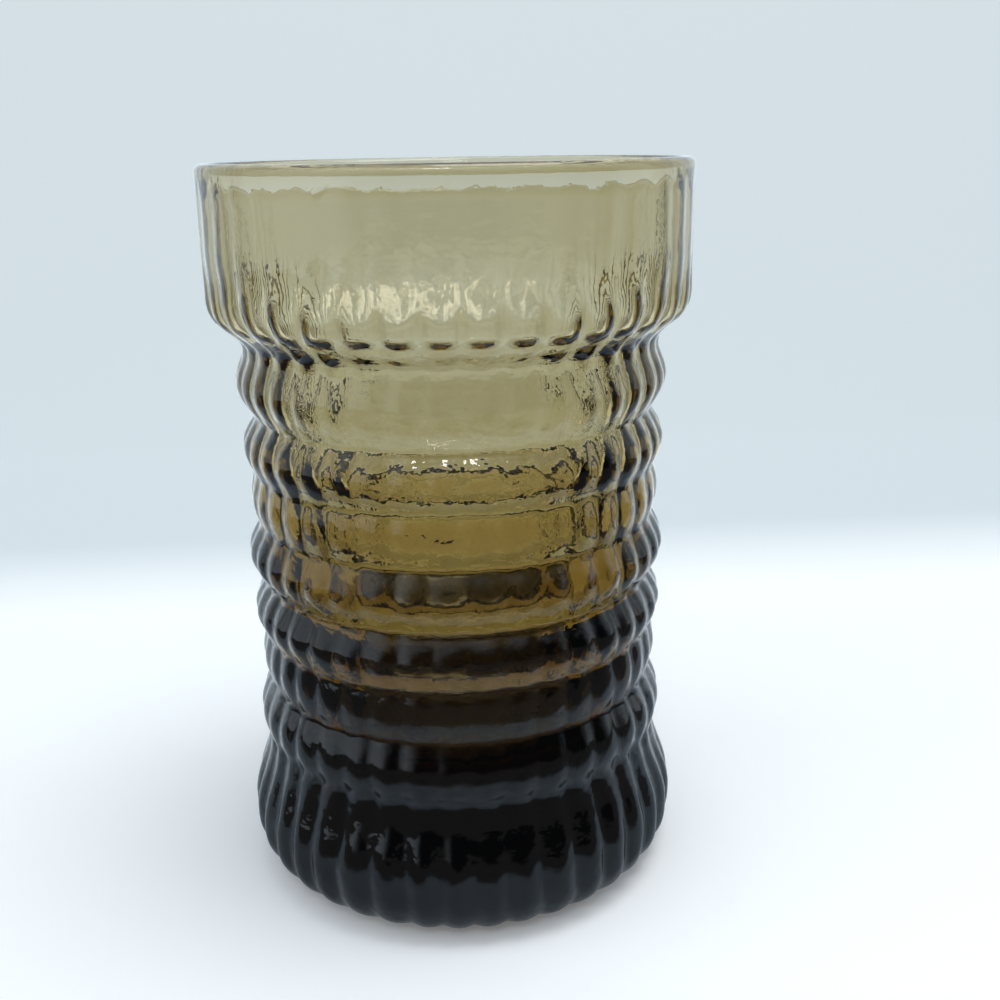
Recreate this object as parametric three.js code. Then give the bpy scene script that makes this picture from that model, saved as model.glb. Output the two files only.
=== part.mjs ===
// A water tumbler of smoked glass, blown thick in one piece.
// From the top down: a straight cup, a shoulder drawn in to a neck, seven stacked rings of three
// kinds that repeat, and a flared solid foot. Upright flutes run down the whole outside. The wall of
// the cup is even, so the inside follows the shoulder, the top rings and the flutes there. Below,
// the inside narrows to a rounded floor, so the glass grows thicker and darker downwards.
// Millimetres, +Z up, origin at the centre of the foot. At angle 0 the middle of a valley between
// two flutes faces -Y.

import * as THREE from 'three';

// Overall sizes
const height = 120;
const cupRadius = 39.2;
const neckRadius = 34.2;
const shoulderHeight = 18;

// Rings: each kind's height, its radius on the crest and the radius of the groove below it
const wideRing = { height: 10.3, crestRadius: 35.5, grooveRadius: 33.5 };
const middleRing = { height: 9.2, crestRadius: 35.2, grooveRadius: 33.0 };
const narrowRing = { height: 8.7, crestRadius: 34.5, grooveRadius: 33.75 };
const ringOrder = [wideRing, middleRing, narrowRing, wideRing, middleRing, narrowRing, wideRing];
const ringRoundness = 1.17;

// Foot: it flares from the last groove to its widest level, then rounds under to the standing ring
const footHeight = 24.1;
const footTopRadius = 34.6;
const footRadius = 37.85;
const footWidestLevel = 10.5;
const standRadius = 31.5;
const standWidth = 6;
const undersideRise = 1.2;

// Wall and inside
const rimWall = 2.4;
const beadHeight = 5;
const cupWall = 1.9;
const neckWall = 2.5;
const floorThickness = 19;
const floorRadius = 24;
const floorCorner = 9;

// Flutes
const fluteCount = 40;
const stepsPerFlute = 3;
const cupFluteDepth = 0.2;
const ringFluteDepth = 0.5;
const footFluteDepth = 1.1;
const standFluteDepth = 0.7;
const plainRimBand = 6;

// Exponents of the curves, and how far along each curve its points lie, from 0 to 1
const shoulderCurve = { shape: 7.9, ease: 5.7 };
const taperCurve = 1.5;
const floorRoundness = 2.3;
const footUnderCurve = 3;
const ringStepShares = [0.36, 0.64, 1];
const shoulderStepShares = [0.17, 0.29, 0.5];
const footTopStepShares = [0.35, 0.7, 1];
const footUnderStepShares = [0.6, 1];
const floorCornerStepShares = [0, 0.5, 0.85, 1];
const rimStepCount = 4;

// How much of the rings and the flutes shows inside, and over which part of the taper that fades out
const insideReliefShare = 0.8;
const insideFluteShare = 0.6;
const fadeShares = { start: 0.06, end: 0.3 };
const ringsInside = 3;

// Levels that follow from the sizes
const ringStackHeight = ringOrder.reduce((sum, ring) => sum + ring.height, 0);
const neckLevel = footHeight + ringStackHeight;
const shoulderLevel = neckLevel + shoulderHeight;

// Rises from 0 to 1 with no slope at either end
function ease(share) {
  return (1 - Math.cos(Math.PI * share)) / 2;
}

function mix(from, to, share) {
  return from + (to - from) * share;
}

// Each point of the outline has a radius, a level and how deep the flutes' valleys are there
function point(radius, level, fluteDepth = 0) {
  return { radius, level, fluteDepth };
}

// Under the foot: a shallow rise inside the flat standing ring
function undersideOutline() {
  const ringInside = standRadius - standWidth;
  return [point(0, undersideRise), point(ringInside - undersideRise, undersideRise), point(ringInside, 0)];
}

// The foot, from the standing ring up to the groove under the last ring
function footOutline() {
  const under = footUnderStepShares.toReversed().map((share) => {
    const radius = mix(footRadius, standRadius, share ** footUnderCurve);
    return point(radius, footWidestLevel * (1 - share), mix(footFluteDepth, standFluteDepth, share));
  });
  const widest = point(footRadius, footWidestLevel, footFluteDepth);
  const flare = footTopStepShares.map((share) => {
    const radius = mix(footRadius, footTopRadius, ease(share));
    const level = mix(footWidestLevel, footHeight, share);
    return point(radius, level, mix(footFluteDepth, ringFluteDepth, share));
  });
  return [...under, widest, ...flare];
}

// The stacked rings from the top down: the levels and radii of the grooves at the ends of each
function stackedRings() {
  let level = neckLevel;
  let radius = neckRadius;
  return ringOrder.map((ring, place) => {
    const isLowest = place === ringOrder.length - 1;
    const top = { level, radius };
    level -= ring.height;
    radius = isLowest ? footTopRadius : ring.grooveRadius;
    const bottom = { level, radius };
    return { ...ring, top, bottom, bulge: ring.crestRadius - (top.radius + bottom.radius) / 2 };
  });
}

// The rings' outside, from the lowest one up to the neck
function ringOutline() {
  return stackedRings().toReversed().flatMap(({ height: ringHeight, top, bottom, bulge }) => (
    ringStepShares.map((share) => {
      const swell = Math.sin(Math.PI * Math.min(share, 1 - share)) ** ringRoundness;
      const radius = mix(bottom.radius, top.radius, share) + bulge * swell;
      return point(radius, bottom.level + ringHeight * share, ringFluteDepth);
    })
  ));
}

// The shoulder, from the neck out to the straight cup: outside, and inside with smaller radii
function shoulderOutline(neck, cup, fluteShare) {
  return shoulderStepShares.map((share) => {
    const widening = (1 - (1 - share) ** shoulderCurve.shape) ** shoulderCurve.ease;
    const fluteDepth = mix(ringFluteDepth, cupFluteDepth, share) * fluteShare;
    return point(mix(neck, cup, widening), mix(neckLevel, shoulderLevel, share), fluteDepth);
  });
}

// The straight cup's outside and the rounded rim; the flutes fade out below the rim
function rimOutline() {
  const rimRound = rimWall / 2;
  const outline = [point(cupRadius, height - plainRimBand, cupFluteDepth)];
  for (let step = 0; step <= rimStepCount; step += 1) {
    const turn = (Math.PI * step) / rimStepCount;
    const radius = cupRadius - rimRound + rimRound * Math.cos(turn);
    outline.push(point(radius, height - rimRound + rimRound * Math.sin(turn)));
  }
  return outline;
}

// The inside, from below the rim's bead down past the shoulder and round to the middle of the floor
function insideOutline() {
  const cupInside = cupRadius - cupWall;
  const neckInside = neckRadius - neckWall;
  const cup = point(cupInside, height - beadHeight, cupFluteDepth * insideFluteShare);
  const shoulder = shoulderOutline(neckInside, cupInside, insideFluteShare).toReversed();
  const taper = (level, relief) => {
    const share = ((neckLevel - level) / (neckLevel - floorThickness)) ** taperCurve;
    const faded = (share - fadeShares.start) / (fadeShares.end - fadeShares.start);
    const following = 1 - ease(Math.min(Math.max(faded, 0), 1));
    const radius = mix(neckInside, floorRadius, share) + relief * insideReliefShare * following;
    return point(radius, level, ringFluteDepth * insideFluteShare * following);
  };
  const rings = stackedRings().slice(0, ringsInside).flatMap(({ top, bottom, bulge }) => (
    [taper((top.level + bottom.level) / 2, bulge), taper(bottom.level, 0)]
  ));
  const floor = floorCornerStepShares.map((share) => {
    const edge = taper(floorThickness + floorCorner * (1 - share), 0);
    return point(edge.radius * (1 - share ** floorRoundness) ** (1 / floorRoundness), edge.level);
  });
  return [cup, ...shoulder, taper(neckLevel, 0), ...rings, ...floor];
}

// How deep into a valley an angle lies: 0 on the crest of a flute, 1 in the middle of a valley
function valleyShare(angle) {
  return 1 - Math.abs(Math.sin((fluteCount * angle) / 2));
}

function tumblerGeometry() {
  const outline = [
    ...undersideOutline(),
    ...footOutline(),
    ...ringOutline(),
    ...shoulderOutline(neckRadius, cupRadius, 1),
    ...rimOutline(),
    ...insideOutline(),
  ];
  const profile = outline.map(({ radius, level }) => new THREE.Vector2(radius, level));
  const geometry = new THREE.LatheGeometry(profile, fluteCount * stepsPerFlute);
  const positions = geometry.attributes.position;
  for (let index = 0; index < positions.count; index += 1) {
    const { radius, fluteDepth } = outline[index % outline.length];
    const angle = Math.atan2(positions.getX(index), positions.getZ(index));
    const inward = fluteDepth > 0 ? 1 - (fluteDepth * valleyShare(angle)) / radius : 1;
    positions.setX(index, positions.getX(index) * inward);
    positions.setZ(index, positions.getZ(index) * inward);
  }
  geometry.rotateX(Math.PI / 2);
  geometry.computeVertexNormals();
  return geometry;
}

const smokedGlass = new THREE.MeshStandardMaterial({
  color: 0x6b6142,
  roughness: 0.03,
  metalness: 0,
  transparent: true,
  opacity: 0.6,
});

const glass = new THREE.Mesh(tumblerGeometry(), smokedGlass);
glass.name = 'tumbler_glass';

const tumbler = new THREE.Group();
tumbler.add(glass);

export default tumbler;
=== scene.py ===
# A smoked-glass water tumbler, blown thick in one piece: fluted cup, stacked rings, heavy foot.
import math

import bpy
from mathutils import Matrix, Vector


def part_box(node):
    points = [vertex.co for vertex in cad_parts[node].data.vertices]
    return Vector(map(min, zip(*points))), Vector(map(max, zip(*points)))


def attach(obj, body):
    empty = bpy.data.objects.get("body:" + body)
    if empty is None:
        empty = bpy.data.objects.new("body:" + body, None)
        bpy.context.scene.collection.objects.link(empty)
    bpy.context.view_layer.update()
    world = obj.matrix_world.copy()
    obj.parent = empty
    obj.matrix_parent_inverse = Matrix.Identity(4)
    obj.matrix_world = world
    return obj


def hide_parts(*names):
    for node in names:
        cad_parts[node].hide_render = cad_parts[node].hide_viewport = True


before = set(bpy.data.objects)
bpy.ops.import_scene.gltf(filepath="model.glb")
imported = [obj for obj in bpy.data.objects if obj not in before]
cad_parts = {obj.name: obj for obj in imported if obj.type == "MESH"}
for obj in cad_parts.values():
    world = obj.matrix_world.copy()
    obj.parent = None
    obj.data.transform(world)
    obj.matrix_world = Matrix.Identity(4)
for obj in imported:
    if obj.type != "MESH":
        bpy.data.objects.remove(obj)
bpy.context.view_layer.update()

MM = 0.001

# Sizes of the glass, in millimetres. The height and the cup come from the frame.
LOW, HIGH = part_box("tumbler_glass")
GLASS_SIZES = {
    "Height": (HIGH[2] - LOW[2]) / MM,
    "Cup radius": (HIGH[0] - LOW[0]) / MM / 2,
    "Neck radius": 34.2,
    "Shoulder height": 18,
    "Foot height": 24.1,
    "Foot top radius": 34.6,
    "Foot radius": 37.85,
    "Foot widest level": 10.5,
    "Stand radius": 31.5,
    "Stand width": 6,
    "Underside rise": 1.2,
    "Rim wall": 2.4,
    "Bead height": 5,
    "Cup wall": 1.9,
    "Neck wall": 2.5,
    "Floor thickness": 19,
    "Floor radius": 24,
    "Floor corner": 9,
    "Cup flute depth": 0.2,
    "Lobe end depth": 0.5,
    "Lobe step": 0.8,
    "Lobe nose": 0.3,
    "Ring flute depth": 0.3,
    "Foot flute depth": 1.1,
    "Foot dimple": 0.4,
    "Stand flute depth": 0.7,
    "Plain rim band": 6,
    "Inside ripple": 0.35,
    "Outside ripple": 0.05,
}
# The three kinds of ring: height, radius on the crest, radius of the groove below
RING_SIZES = {
    "Wide ring": (10.3, 35.5, 33.5),
    "Middle ring": (9.2, 35.2, 33.0),
    "Narrow ring": (8.7, 34.5, 33.75),
}
RING_PARTS = ("height", "crest", "groove")
RING_ORDER = ("Wide", "Middle", "Narrow", "Wide", "Middle", "Narrow", "Wide")
RING_ROUNDNESS = 1.17

# Flutes: how many, how far they wander to and fro, how soft their valleys are outside and inside,
# how much deeper they are on the crests of the rings, and how far up and down the foot's dimples reach
FLUTE_COUNT = 40
FLUTE_WANDER = math.radians(2.2)
WANDER_SCALE = 2.2
WANDER_PER_LEVEL = 0.045
VALLEY_SOFTNESS = 0.12
INSIDE_SOFTNESS = 0.6
BEAD_SHARE = 0.15
FOOT_DIMPLE_REACH = 2.2

# Exponents of the curves
SHOULDER_SHAPE = 7.9
SHOULDER_EASE = 5.7
TAPER_CURVE = 1.5
FLOOR_ROUNDNESS = 2.3
BEAD_CURVE = 1.3
FOOT_UNDER_CURVE = 3
STAND_DEPTH_CURVE = 2

# Lower ends of the cup's lobes, with places as shares of the shoulder's height
LOBE_END_STRETCH = 1.2
LOBE_END_CURVE = 0.8
LOBE_NOSE_SHARES = (0.22, 0.32, 0.7)
LOBE_STEP_SHARES = (0.3, 0.63, 0.72)

# Underside: the share of its rows inside the standing ring, and where those rows slope down to it
STAND_INSIDE_SHARE = 0.75
UNDERSIDE_EDGE_SHARE = 0.85

# Inside: how much of the rings and the flutes it has, and over which part of the taper that fades out
INSIDE_RELIEF = 0.8
INSIDE_ROUNDNESS = 1.8
INSIDE_FLUTES = 0.6
FOLLOWING_START = 0.06
FOLLOWING_END = 0.3

# Ripples of hot glass: fainter up the cup, stronger towards one side
RIPPLE_SEED = 7.3
RIPPLE_SCALE = 0.28
RIPPLE_DETAIL = 3.0
RIPPLE_STRETCH = 0.7
RIPPLE_INSET = 0.5
CUP_RIPPLE_SHARE = 0.3
RIPPLES_FAINT_ABOVE_SHARE = 0.75
RIPPLES_FULL_BELOW_SHARE = 0.5
RIPPLES_START_SHARE = 0.8
UNEVEN_SIDE = math.radians(-35)
UNEVEN_CURVE = 3

# Fineness of the mesh. The shoulder's rows reach up this share of its height.
STEPS_PER_FLUTE = 7
AROUND_STEPS = FLUTE_COUNT * STEPS_PER_FLUTE
OUTSIDE_STEPS = {"foot": 36, "rings": 112, "shoulder": 34, "cup": 16}
RIM_STEPS = 8
INSIDE_STEPS = {"bead": 8, "cup": 8, "shoulder": 34, "taper": 66, "corner": 16}
UNDERSIDE_STEPS = 8
SHOULDER_ROWS_SHARE = 0.7
MERGE_DISTANCE = 0.002

# Smoked glass: how it bends light, and how strongly and in which tint it absorbs it
GLASS_IOR = 1.5
ABSORPTION_DENSITY = 387
ABSORPTION_COLOUR = (0.65, 0.55, 0.2)

# Small dimples in the skin of the glass, in millimetres, and the levels between which they grow faint
DIMPLE_WIDTH = 2.2
DIMPLE_DEPTH = 0.13
DIMPLE_DETAIL = 2.0
CUP_DIMPLE_SHARE = 0.35
DIMPLES_FULL_BELOW = 88
DIMPLES_FAINT_ABOVE = 102

# Camera: round the glass, above its foot, and where it aims
CAMERA_DISTANCE = 190.5 * MM
CAMERA_HEIGHT = 122 * MM
CAMERA_TURN = math.radians(-2)
CAMERA_AIM_RIGHT = math.radians(2.3)
CAMERA_AIM_DOWN = math.radians(17.17)
CAMERA_ROLL = math.radians(-0.92)
CAMERA_LENS = 41.36
CAMERA_CLIP_START = 10 * MM

# Stage: a pale sheet that runs back from the glass and curves up behind it
SWEEP_START = 107 * MM
SWEEP_RADIUS = 40 * MM
STAGE_FRONT = 1200 * MM
STAGE_HEIGHT = 900 * MM
STAGE_HALF_WIDTH = 900 * MM
FLOOR_CLEARANCE = 0.05 * MM
SWEEP_STEPS = 24

# Colours of the sheet and its own glow, each at a share of the way up to a given height
SHEET_RAMP_HEIGHT = 300 * MM
SHEET_COLOURS = (
    (0.0, (0.95, 0.96, 0.96)),
    (0.04, (0.2, 0.22, 0.23)),
    (1.0, (0.2, 0.22, 0.23)),
)
BACKDROP_GLOW = (
    (0.0, (0.12, 0.12, 0.12)),
    (0.04, (0.5, 0.57, 0.6)),
    (0.12, (0.55, 0.62, 0.65)),
    (1.0, (0.6, 0.67, 0.69)),
)

# Painted shade that reflections and bounced light see on the sheet, standing in for the dim room in front:
# colours each at a share of a reach towards the front and the sides
PAINTED_SHADE_REACH = 200 * MM
PAINTED_SHADE_SIDE_SHARE = 0.5
PAINTED_REFLECTION_SHADE_COLOURS = (
    (0.0, (0.85, 0.92, 0.97)),
    (0.14, (0.35, 0.43, 0.50)),
    (0.36, (0.35, 0.43, 0.50)),
    (0.44, (0.03, 0.03, 0.03)),
)

# Room: its dark low part, its pale rest, which way the dark part faces, and how its edges fade
ROOM_LOW = (0.04, 0.045, 0.05)
ROOM_HIGH = (0.9, 1.0, 1.1)
ROOM_DARK_RIGHT = 0.34
ROOM_DARK_FRONT = 0.94
ROOM_DARK_EDGE = (0.15, 0.75)
ROOM_PALE_ABOVE = (0.4, 0.85)

# Lamps: where each is, what it points at, its width and length, all in metres, and its watts
LAMPS = {
    "ceiling_panel": ((0.18, 0.0, 0.9), (0.0, 0.0, 0.0), (0.5, 0.5), 3.5),
    "window": ((-0.06, -0.52, 0.62), (0.0, 0.0, 0.09), (0.12, 0.06), 0.4),
}


class Field:
    """A number worked out by nodes. Sums, products and powers of fields add Math nodes to a tree."""

    def __init__(self, tree, socket):
        self.tree = tree
        self.socket = socket

    def work(self, operation, *values):
        node = self.tree.nodes.new("ShaderNodeMath")
        node.operation = operation
        for socket, value in zip(node.inputs, values):
            feed(self.tree, socket, value)
        return Field(self.tree, node.outputs[0])

    def __add__(self, other):
        return self.work("ADD", self, other)

    def __radd__(self, other):
        return self.work("ADD", other, self)

    def __sub__(self, other):
        return self.work("SUBTRACT", self, other)

    def __rsub__(self, other):
        return self.work("SUBTRACT", other, self)

    def __mul__(self, other):
        return self.work("MULTIPLY", self, other)

    def __rmul__(self, other):
        return self.work("MULTIPLY", other, self)

    def __truediv__(self, other):
        return self.work("DIVIDE", self, other)

    def __pow__(self, other):
        return self.work("POWER", self, other)

    def sine(self):
        return self.work("SINE", self)

    def cosine(self):
        return self.work("COSINE", self)

    def root(self):
        return self.work("SQRT", self)

    def at_least(self, low):
        return self.work("MAXIMUM", self, low)

    def at_most(self, high):
        return self.work("MINIMUM", self, high)


def feed(tree, socket, value):
    """Gives a node's input a field, a socket or a plain value."""
    if isinstance(value, Field):
        tree.links.new(value.socket, socket)
    elif isinstance(value, bpy.types.NodeSocket):
        tree.links.new(value, socket)
    else:
        socket.default_value = value


def add_node(tree, kind, settings=None, **inputs):
    """Adds a node, sets its own settings, and feeds the inputs named, with spaces as underscores."""
    node = tree.nodes.new(kind)
    for name, value in (settings or {}).items():
        setattr(node, name, value)
    for name, value in inputs.items():
        feed(tree, node.inputs[name.replace("_", " ")], value)
    return node


def mix(start, end, share):
    return start + (end - start) * share


def ease(share):
    """Rises from 0 to 1 with no slope at either end."""
    return 0.5 - (share * math.pi).cosine() * 0.5


def share_between(level, start, end):
    """How far a level has gone from start to end, kept within 0 and 1."""
    return ((level - start) / (end - start)).at_least(0).at_most(1)


def vector(tree, x, y, z):
    node = tree.nodes.new("ShaderNodeCombineXYZ")
    for socket, value in zip(node.inputs, (x, y, z)):
        feed(tree, socket, value)
    return node.outputs[0]


def noise(tree, place, scale, detail=2.0, roughness=0.5):
    """Smooth noise round 0, from about -0.5 to 0.5."""
    node = add_node(
        tree,
        "ShaderNodeTexNoise",
        {"noise_dimensions": "4D", "normalize": True},
        Vector=place,
        W=RIPPLE_SEED,
        Scale=scale,
        Detail=detail,
        Roughness=roughness,
    )
    return Field(tree, node.outputs[0]) - 0.5


# The glass body: a tree of Geometry Nodes that turns the outline round the axis and cuts the flutes


def add_sizes(tree):
    """Adds a named input for each size and returns them as fields, by name."""
    for name in GLASS_SIZES:
        tree.interface.new_socket(name, in_out="INPUT", socket_type="NodeSocketFloat")
    for ring in RING_SIZES:
        for part in RING_PARTS:
            name = f"{ring} {part}"
            tree.interface.new_socket(name, in_out="INPUT", socket_type="NodeSocketFloat")
    group_in = tree.nodes.new("NodeGroupInput")
    return {socket.name: Field(tree, socket) for socket in group_in.outputs if socket.name}


def ring_stack(size):
    """The levels of the grooves between the rings, from the foot up to the neck."""
    levels = [size["Foot height"]]
    for ring in reversed(RING_ORDER):
        levels.append(levels[-1] + size[f"{ring} ring height"])
    return levels


def ring_relief(level, size, roundness=RING_ROUNDNESS):
    """How far the rings stand out of the straight lines between their grooves, those lines, and the
    level of the neck."""
    levels = ring_stack(size)
    rings = [f"{kind} ring" for kind in reversed(RING_ORDER)]
    between = [size[f"{ring} groove"] for ring in rings[:-1]]
    grooves = [size["Foot top radius"], *between, size["Neck radius"]]
    line, relief = grooves[0], 0.0
    for place, ring in enumerate(rings):
        below, above = grooves[place : place + 2]
        along = share_between(level, levels[place], levels[place + 1])
        bulge = size[f"{ring} crest"] - (below + above) * 0.5
        line = line + (above - below) * along
        relief = bulge * (along * math.pi).sine().at_least(0) ** roundness + relief
    return relief, line, levels[-1]


def outside_radius(level, size):
    """The outline's radius at a level, on the crests of the flutes. Each stretch adds its own change."""
    relief, line, neck = ring_relief(level, size)
    under = share_between(level, size["Foot widest level"], 0)
    flare = share_between(level, size["Foot widest level"], size["Foot height"])
    shoulder = share_between(level, neck + size["Shoulder height"], neck)
    widening = (1 - shoulder**SHOULDER_SHAPE).at_least(0) ** SHOULDER_EASE
    radius = line + relief + (size["Cup radius"] - size["Neck radius"]) * widening
    radius = radius + (size["Foot radius"] - size["Foot top radius"]) * (1 - ease(flare))
    return radius + (size["Stand radius"] - size["Foot radius"]) * under**FOOT_UNDER_CURVE


def outside_wall(level, angle, size):
    """The outside's radius at a level and an angle, with the flutes cut in."""
    relief, _, neck = ring_relief(level, size)
    valley = valley_share(angle)
    cut = flute_depth(level, relief, neck, size) * valley
    return outside_radius(level, size) - cut + lobe_nose(level, neck, size) * (1 - valley)


def flute_depth(level, relief, neck, size):
    """How deep the valleys between the flutes are at a level. They are deepest where the lobes of the
    cup end above the neck, and on the rings' crests."""
    foot = share_between(level, size["Foot widest level"], size["Foot height"])
    under = share_between(level, size["Foot widest level"], 0)
    shoulder = share_between(level, neck, neck + size["Shoulder height"])
    rim_level = size["Height"] - size["Rim wall"] * 0.5
    plain = share_between(level, size["Height"] - size["Plain rim band"], rim_level)
    foot_height = size["Foot height"]
    groove = share_between(level, foot_height - FOOT_DIMPLE_REACH, foot_height + FOOT_DIMPLE_REACH)
    lobe_end = (shoulder * LOBE_END_STRETCH).at_most(1) ** LOBE_END_CURVE
    depth = mix(size["Foot flute depth"], size["Ring flute depth"], foot) + relief * BEAD_SHARE
    depth = depth + (size["Stand flute depth"] - size["Foot flute depth"]) * under**STAND_DEPTH_CURVE
    depth = depth + (size["Cup flute depth"] - size["Ring flute depth"]) * shoulder
    depth = depth + size["Lobe end depth"] * (lobe_end * math.pi).sine()
    depth = depth + size["Foot dimple"] * (groove * math.pi).sine()
    return depth * (1 - ease(plain))


def lobe_nose(level, neck, size):
    """How far the lower ends of the cup's lobes stand out above the neck, with steep undersides."""
    share = share_between(level, neck, neck + size["Shoulder height"])
    start, peak, end = LOBE_NOSE_SHARES
    fall = 1 - ease(share_between(share, peak, end))
    return size["Lobe nose"] * ease(share_between(share, start, peak)) * fall


def valley_share(angle, softness=VALLEY_SOFTNESS):
    """0 on the crest of a flute, 1 in the middle of the narrow rounded valley between two."""
    wave = (angle * (FLUTE_COUNT / 2)).sine()
    crest_height = math.sqrt(1 + softness**2)
    lobe = (wave * wave + softness**2).root()
    return (crest_height - lobe) / (crest_height - softness)


def inside_wall(level, angle, size):
    """The inside's radius: the cup's wall is even, so the inside has the outside's shoulder, rings and
    flutes there. They fade lower down, where the wall thickens to the floor. A bead thickens the rim."""
    relief, _, neck = ring_relief(level, size, INSIDE_ROUNDNESS)
    rim_inside = size["Cup radius"] - size["Rim wall"]
    cup_inside = size["Cup radius"] - size["Cup wall"]
    neck_inside = size["Neck radius"] - size["Neck wall"]
    rim_level = size["Height"] - size["Rim wall"] * 0.5
    bead = share_between(level, size["Height"] - size["Bead height"], rim_level)
    shoulder = share_between(level, neck + size["Shoulder height"], neck)
    widening = (1 - shoulder**SHOULDER_SHAPE).at_least(0) ** SHOULDER_EASE
    start, peak, end = LOBE_STEP_SHARES
    step = ease(share_between(shoulder, end, peak)) * ease(share_between(shoulder, start, peak))
    taper = share_between(level, neck, size["Floor thickness"]) ** TAPER_CURVE
    following = 1 - ease(share_between(taper, FOLLOWING_START, FOLLOWING_END))
    valley = valley_share(angle, INSIDE_SOFTNESS)
    flutes = flute_depth(level, relief, neck, size) * valley * INSIDE_FLUTES
    radius = mix(neck_inside, size["Floor radius"], taper) + (relief * INSIDE_RELIEF - flutes) * following
    corner = share_between(level, size["Floor thickness"] + size["Floor corner"], size["Floor thickness"])
    radius = radius * (1 - corner**FLOOR_ROUNDNESS).at_least(0) ** (1 / FLOOR_ROUNDNESS)
    radius = radius + size["Lobe step"] * step * (1 - valley)
    return radius + (cup_inside - neck_inside) * widening + (rim_inside - cup_inside) * bead**BEAD_CURVE


def level_along(along, levels, steps):
    """The level that a share of the way along the outline lies at, where each stretch between two of
    the levels has its own number of steps."""
    level, done, total = levels[0], 0, sum(steps)
    for start, end, count in zip(levels, levels[1:], steps):
        level = level + (end - start) * share_between(along, done / total, (done + count) / total)
        done += count
    return level


def wandering(tree, angle, level):
    """The angle, pushed a little to and fro: the flutes of hot glass don't run up quite straight."""
    place = vector(tree, angle.sine(), angle.cosine(), level * WANDER_PER_LEVEL)
    return angle + noise(tree, place, WANDER_SCALE) * (2 * FLUTE_WANDER)


def add_strip(tree, steps, radius, level, angle):
    """A sheet of the body: a grid whose rows become circles of the radius and level given."""
    grid = add_node(
        tree,
        "GeometryNodeMeshGrid",
        Size_X=1.0,
        Size_Y=1.0,
        Vertices_X=AROUND_STEPS + 1,
        Vertices_Y=steps + 1,
    )
    place = vector(tree, radius * angle.sine() * MM, radius * angle.cosine() * -MM, level * MM)
    moved = add_node(tree, "GeometryNodeSetPosition", Geometry=grid.outputs["Mesh"], Position=place)
    return moved.outputs[0]


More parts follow.
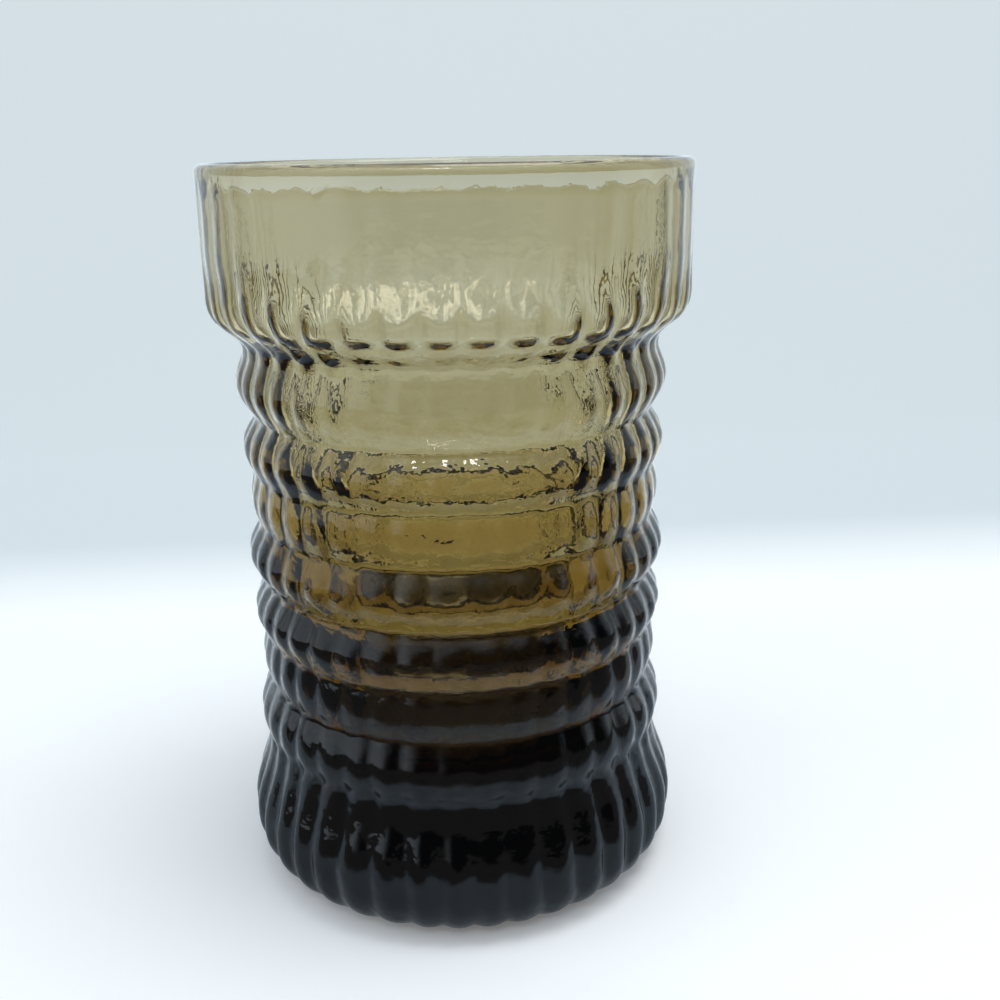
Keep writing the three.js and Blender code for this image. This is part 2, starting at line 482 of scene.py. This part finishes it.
def build_glass_tree(material):
    tree = bpy.data.node_groups.new("Blown glass body", "GeometryNodeTree")
    size = add_sizes(tree)
    tree.interface.new_socket("Geometry", in_out="OUTPUT", socket_type="NodeSocketGeometry")

    # Where a point of a grid lies: its share of the way along the outline, and its angle round
    position = tree.nodes.new("GeometryNodeInputPosition").outputs[0]
    place = add_node(tree, "ShaderNodeSeparateXYZ", Vector=position)
    along = Field(tree, place.outputs["Y"]) + 0.5
    angle = Field(tree, place.outputs["X"]) * math.tau

    # The outside, from the table up to the rim, and the inside back down to the middle of the floor
    rim_round = size["Rim wall"] * 0.5
    rim_level = size["Height"] - rim_round
    neck = ring_stack(size)[-1]
    shoulder_level = neck + size["Shoulder height"] * SHOULDER_ROWS_SHARE
    bead_level = size["Height"] - size["Bead height"]
    corner_level = size["Floor thickness"] + size["Floor corner"]
    levels = (0.0, size["Foot height"], neck, shoulder_level, rim_level)
    level = level_along(along, levels, OUTSIDE_STEPS.values())
    wall = outside_wall(level, wandering(tree, angle, level), size)
    sheets = [add_strip(tree, sum(OUTSIDE_STEPS.values()), wall, level, angle)]
    levels = (rim_level, bead_level, shoulder_level, neck, corner_level, size["Floor thickness"])
    level = level_along(along, levels, INSIDE_STEPS.values())
    wall = inside_wall(level, wandering(tree, angle, level), size)
    sheets.append(add_strip(tree, sum(INSIDE_STEPS.values()), wall, level, angle))

    # The rim turns over in a half circle
    turn = along * math.pi
    rim_radius = size["Cup radius"] - rim_round + rim_round * turn.cosine()
    sheets.append(add_strip(tree, RIM_STEPS, rim_radius, rim_level + rim_round * turn.sine(), angle))

    # The underside rises a little inside the flat standing ring
    stand_edge = size["Stand radius"] - size["Stand width"]
    stand_valley = valley_share(wandering(tree, angle, angle * 0))
    stand_outer = size["Stand radius"] - size["Stand flute depth"] * stand_valley
    inner_share = share_between(along, 0.0, STAND_INSIDE_SHARE)
    outer_share = share_between(along, STAND_INSIDE_SHARE, 1.0)
    under_radius = stand_edge * inner_share + (stand_outer - stand_edge) * outer_share
    lift = 1 - ease(share_between(inner_share, UNDERSIDE_EDGE_SHARE, 1.0))
    sheets.append(add_strip(tree, UNDERSIDE_STEPS, under_radius, size["Underside rise"] * lift, angle))

    joined = tree.nodes.new("GeometryNodeJoinGeometry")
    for sheet in sheets:
        tree.links.new(sheet, joined.inputs[0])
    merged = add_node(
        tree,
        "GeometryNodeMergeByDistance",
        Geometry=joined.outputs[0],
        Distance=MERGE_DISTANCE * MM,
    )

    # Hot glass never sets quite even: long shallow ripples, deeper inside than outside
    moved_position = tree.nodes.new("GeometryNodeInputPosition").outputs[0]
    spot = add_node(tree, "ShaderNodeSeparateXYZ", Vector=moved_position)
    x, y, z = (Field(tree, spot.outputs[axis]) / MM for axis in "XYZ")
    from_axis = (x * x + y * y).root()
    skin = outside_radius(z, size) - size["Ring flute depth"]
    is_inside = (skin - from_axis).at_least(0).at_most(1)
    is_wall = share_between(z, size["Height"], size["Height"] - size["Bead height"])
    is_up = share_between(z, size["Underside rise"], size["Floor thickness"] * RIPPLES_START_SHARE)
    ripple = noise(tree, vector(tree, x, y, z * RIPPLE_STRETCH), RIPPLE_SCALE, RIPPLE_DETAIL)
    faint_above = size["Height"] * RIPPLES_FAINT_ABOVE_SHARE
    full_below = size["Height"] * RIPPLES_FULL_BELOW_SHARE
    is_low = CUP_RIPPLE_SHARE + share_between(z, faint_above, full_below) * (1 - CUP_RIPPLE_SHARE)
    towards_uneven = (x * math.sin(UNEVEN_SIDE) - y * math.cos(UNEVEN_SIDE)) / from_axis.at_least(1)
    unevenness = 1 + towards_uneven.at_least(0) ** UNEVEN_CURVE
    inside_push = ripple * size["Inside ripple"] * is_inside * is_low * unevenness
    outside_push = (ripple - RIPPLE_INSET) * size["Outside ripple"] * (1 - is_inside) * unevenness
    push = (inside_push + outside_push) * is_wall * is_up * MM
    normal = tree.nodes.new("GeometryNodeInputNormal")
    offset = add_node(tree, "ShaderNodeVectorMath", {"operation": "SCALE"}, Scale=push)
    tree.links.new(normal.outputs[0], offset.inputs[0])
    rippled = add_node(tree, "GeometryNodeSetPosition", Geometry=merged.outputs[0], Offset=offset.outputs[0])

    smooth = add_node(tree, "GeometryNodeSetShadeSmooth", Geometry=rippled.outputs[0])
    real = add_node(tree, "GeometryNodeRealizeInstances", Geometry=smooth.outputs[0])
    dressed = add_node(tree, "GeometryNodeSetMaterial", Geometry=real.outputs[0], Material=material)
    group_out = tree.nodes.new("NodeGroupOutput")
    tree.links.new(dressed.outputs[0], group_out.inputs[0])
    return tree


def make_glass(material):
    """Runs the tree with the glass's sizes and returns its result as a plain mesh object."""
    tree = build_glass_tree(material)
    maker = bpy.data.objects.new("glass_maker", bpy.data.meshes.new("glass_maker"))
    bpy.context.scene.collection.objects.link(maker)
    modifier = maker.modifiers.new("Blown glass body", "NODES")
    modifier.node_group = tree
    values = dict(GLASS_SIZES)
    for ring, sizes in RING_SIZES.items():
        for part, value in zip(RING_PARTS, sizes):
            values[f"{ring} {part}"] = value
    for item in tree.interface.items_tree:
        if item.in_out == "INPUT":
            modifier[item.identifier] = float(values[item.name])
    evaluated = maker.evaluated_get(bpy.context.evaluated_depsgraph_get())
    mesh = bpy.data.meshes.new_from_object(evaluated)
    mesh.name = "tumbler_body"
    glass = bpy.data.objects.new("tumbler_body", mesh)
    bpy.context.scene.collection.objects.link(glass)
    maker.modifiers.remove(modifier)
    bpy.data.objects.remove(maker)
    return glass


def new_material(name):
    material = bpy.data.materials.new(name)
    material.use_nodes = True
    material.node_tree.nodes.clear()
    return material, material.node_tree


def make_smoked_glass():
    """Clear smoke-coloured glass, with small dimples in its skin that grow faint up the cup."""
    material, tree = new_material("smoked_glass")
    coordinates = tree.nodes.new("ShaderNodeTexCoord").outputs["Object"]
    level = Field(tree, add_node(tree, "ShaderNodeSeparateXYZ", Vector=coordinates).outputs["Z"]) / MM
    faintness = share_between(level, DIMPLES_FULL_BELOW, DIMPLES_FAINT_ABOVE)
    dimples = noise(tree, coordinates, 1 / (DIMPLE_WIDTH * MM), DIMPLE_DETAIL)
    dimples = dimples * mix(1, CUP_DIMPLE_SHARE, faintness)
    bump = add_node(tree, "ShaderNodeBump", Strength=1.0, Distance=DIMPLE_DEPTH * MM, Height=dimples)
    shader = add_node(
        tree,
        "ShaderNodeBsdfPrincipled",
        Base_Color=(1.0, 1.0, 1.0, 1.0),
        Roughness=0.0,
        IOR=GLASS_IOR,
        Transmission_Weight=1.0,
        Normal=bump.outputs[0],
    )
    smoke = add_node(
        tree,
        "ShaderNodeVolumeAbsorption",
        Color=(*ABSORPTION_COLOUR, 1.0),
        Density=float(ABSORPTION_DENSITY),
    )
    output = tree.nodes.new("ShaderNodeOutputMaterial")
    tree.links.new(shader.outputs[0], output.inputs["Surface"])
    tree.links.new(smoke.outputs[0], output.inputs["Volume"])
    return material


# The stage: a pale sheet that runs back from the glass and curves up behind it


def make_stage(material):
    outline = [(-STAGE_FRONT, 0.0)]
    for step in range(SWEEP_STEPS + 1):
        turn = math.pi / 2 * step / SWEEP_STEPS
        depth = SWEEP_START + SWEEP_RADIUS * math.sin(turn)
        outline.append((depth, SWEEP_RADIUS * (1 - math.cos(turn))))
    outline.append((SWEEP_START + SWEEP_RADIUS, STAGE_HEIGHT))
    points = []
    for depth, level in outline:
        for side in (-STAGE_HALF_WIDTH, STAGE_HALF_WIDTH):
            points.append((side, depth, level - FLOOR_CLEARANCE))
    faces = [(row, row + 1, row + 3, row + 2) for row in range(0, len(points) - 2, 2)]
    mesh = bpy.data.meshes.new("pale_sweep")
    mesh.from_pydata(points, [], faces)
    mesh.shade_smooth()
    mesh.materials.append(material)
    sweep = bpy.data.objects.new("pale_sweep", mesh)
    bpy.context.scene.collection.objects.link(sweep)


def make_pale_sheet():
    """Pale sheet: plain diffuse, plus its own light where the camera sees it, straight or through glass.
    Reflections and bounced light see it in painted shade: darker, and darkest away from the glass, as in a
    room with one lit table."""
    material, tree = new_material("pale_sheet")
    coordinates = tree.nodes.new("ShaderNodeTexCoord")
    place = add_node(tree, "ShaderNodeSeparateXYZ", Vector=coordinates.outputs["Object"])
    x, y, z = (Field(tree, place.outputs[axis]) for axis in "XYZ")
    plain = make_ramp(tree, z / SHEET_RAMP_HEIGHT, SHEET_COLOURS)
    glow = make_ramp(tree, z / SHEET_RAMP_HEIGHT, BACKDROP_GLOW)
    # Painted shade: reflections and bounced light see the sheet darker towards the front and the sides,
    # standing in for the dim room there; camera and transmission rays get the plain colour
    reach = x.work("ABSOLUTE", x) * PAINTED_SHADE_SIDE_SHARE - y
    painted_reflection_shade = make_ramp(tree, reach / PAINTED_SHADE_REACH, PAINTED_REFLECTION_SHADE_COLOURS)
    light_path = tree.nodes.new("ShaderNodeLightPath")
    direct = Field(tree, light_path.outputs["Is Camera Ray"]) + light_path.outputs["Is Transmission Ray"]
    direct = direct.at_most(1)
    seen = (direct + light_path.outputs["Is Glossy Ray"]).at_most(1)
    colour = add_node(tree, "ShaderNodeMix", {"data_type": "RGBA"})
    sockets = (colour.inputs[0], colour.inputs[6], colour.inputs[7])
    for socket, value in zip(sockets, (direct, painted_reflection_shade, plain)):
        feed(tree, socket, value)
    diffuse = add_node(tree, "ShaderNodeBsdfDiffuse", Color=colour.outputs[2])
    own_light = add_node(tree, "ShaderNodeEmission", Color=glow, Strength=seen)
    both = tree.nodes.new("ShaderNodeAddShader")
    tree.links.new(diffuse.outputs[0], both.inputs[0])
    tree.links.new(own_light.outputs[0], both.inputs[1])
    output = tree.nodes.new("ShaderNodeOutputMaterial")
    tree.links.new(both.outputs[0], output.inputs["Surface"])
    return material


def make_ramp(tree, share, stops):
    """A colour ramp with the stops given as a place from 0 to 1 and a colour."""
    node = add_node(tree, "ShaderNodeValToRGB", Fac=share)
    ramp = node.color_ramp
    while len(ramp.elements) < len(stops):
        ramp.elements.new(1.0)
    for element, (place, colour) in zip(ramp.elements, stops):
        element.position = place
        element.color = (*colour, 1.0)
    return node.outputs[0]


def smooth_step(value, start, end):
    """Rises smoothly from 0 to 1 as the value goes from start to end."""
    return ease(share_between(value, start, end))


def make_world():
    """A room: dark in front and at the sides up to a good height, pale above and behind."""
    world = bpy.data.worlds.new("pale_room")
    world.use_nodes = True
    tree = world.node_tree
    direction = tree.nodes.new("ShaderNodeTexCoord").outputs["Generated"]
    split = add_node(tree, "ShaderNodeSeparateXYZ", Vector=direction)
    x, y, z = (Field(tree, split.outputs[axis]) for axis in "XYZ")
    in_front = smooth_step(x * ROOM_DARK_RIGHT - y * ROOM_DARK_FRONT, *ROOM_DARK_EDGE)
    above = smooth_step(z, *ROOM_PALE_ABOVE)
    open_share = 1 - in_front * (1 - above)
    shades = add_node(tree, "ShaderNodeMix", {"data_type": "RGBA"})
    feed(tree, shades.inputs[0], open_share)
    shades.inputs[6].default_value = (*ROOM_LOW, 1.0)
    shades.inputs[7].default_value = (*ROOM_HIGH, 1.0)
    feed(tree, tree.nodes["Background"].inputs["Color"], shades.outputs[2])
    bpy.context.scene.world = world


def add_lamp(name, place, target, size, power):
    lamp = bpy.data.lights.new(name, "AREA")
    lamp.shape = "RECTANGLE"
    lamp.size, lamp.size_y = size
    lamp.energy = power
    holder = bpy.data.objects.new(name, lamp)
    holder.location = place
    holder.rotation_euler = (Vector(target) - Vector(place)).to_track_quat("-Z", "Y").to_euler()
    bpy.context.scene.collection.objects.link(holder)


def make_camera():
    camera = bpy.data.objects.new("camera", bpy.data.cameras.new("camera"))
    camera.data.lens = CAMERA_LENS
    camera.data.clip_start = CAMERA_CLIP_START
    heading = Matrix.Rotation(CAMERA_TURN - CAMERA_AIM_RIGHT, 4, "Z")
    tilt = Matrix.Rotation(math.pi / 2 - CAMERA_AIM_DOWN, 4, "X")
    roll = Matrix.Rotation(CAMERA_ROLL, 4, "Z")
    across = CAMERA_DISTANCE * math.sin(CAMERA_TURN)
    back = -CAMERA_DISTANCE * math.cos(CAMERA_TURN)
    camera.matrix_world = Matrix.Translation((across, back, CAMERA_HEIGHT)) @ heading @ tilt @ roll
    bpy.context.scene.collection.objects.link(camera)
    bpy.context.scene.camera = camera


make_camera()
glass = make_glass(make_smoked_glass())
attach(glass, "root")
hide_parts("tumbler_glass")

make_stage(make_pale_sheet())
make_world()
for name, settings in LAMPS.items():
    add_lamp(name, *settings)
bpy.context.scene.view_settings.view_transform = "Standard"
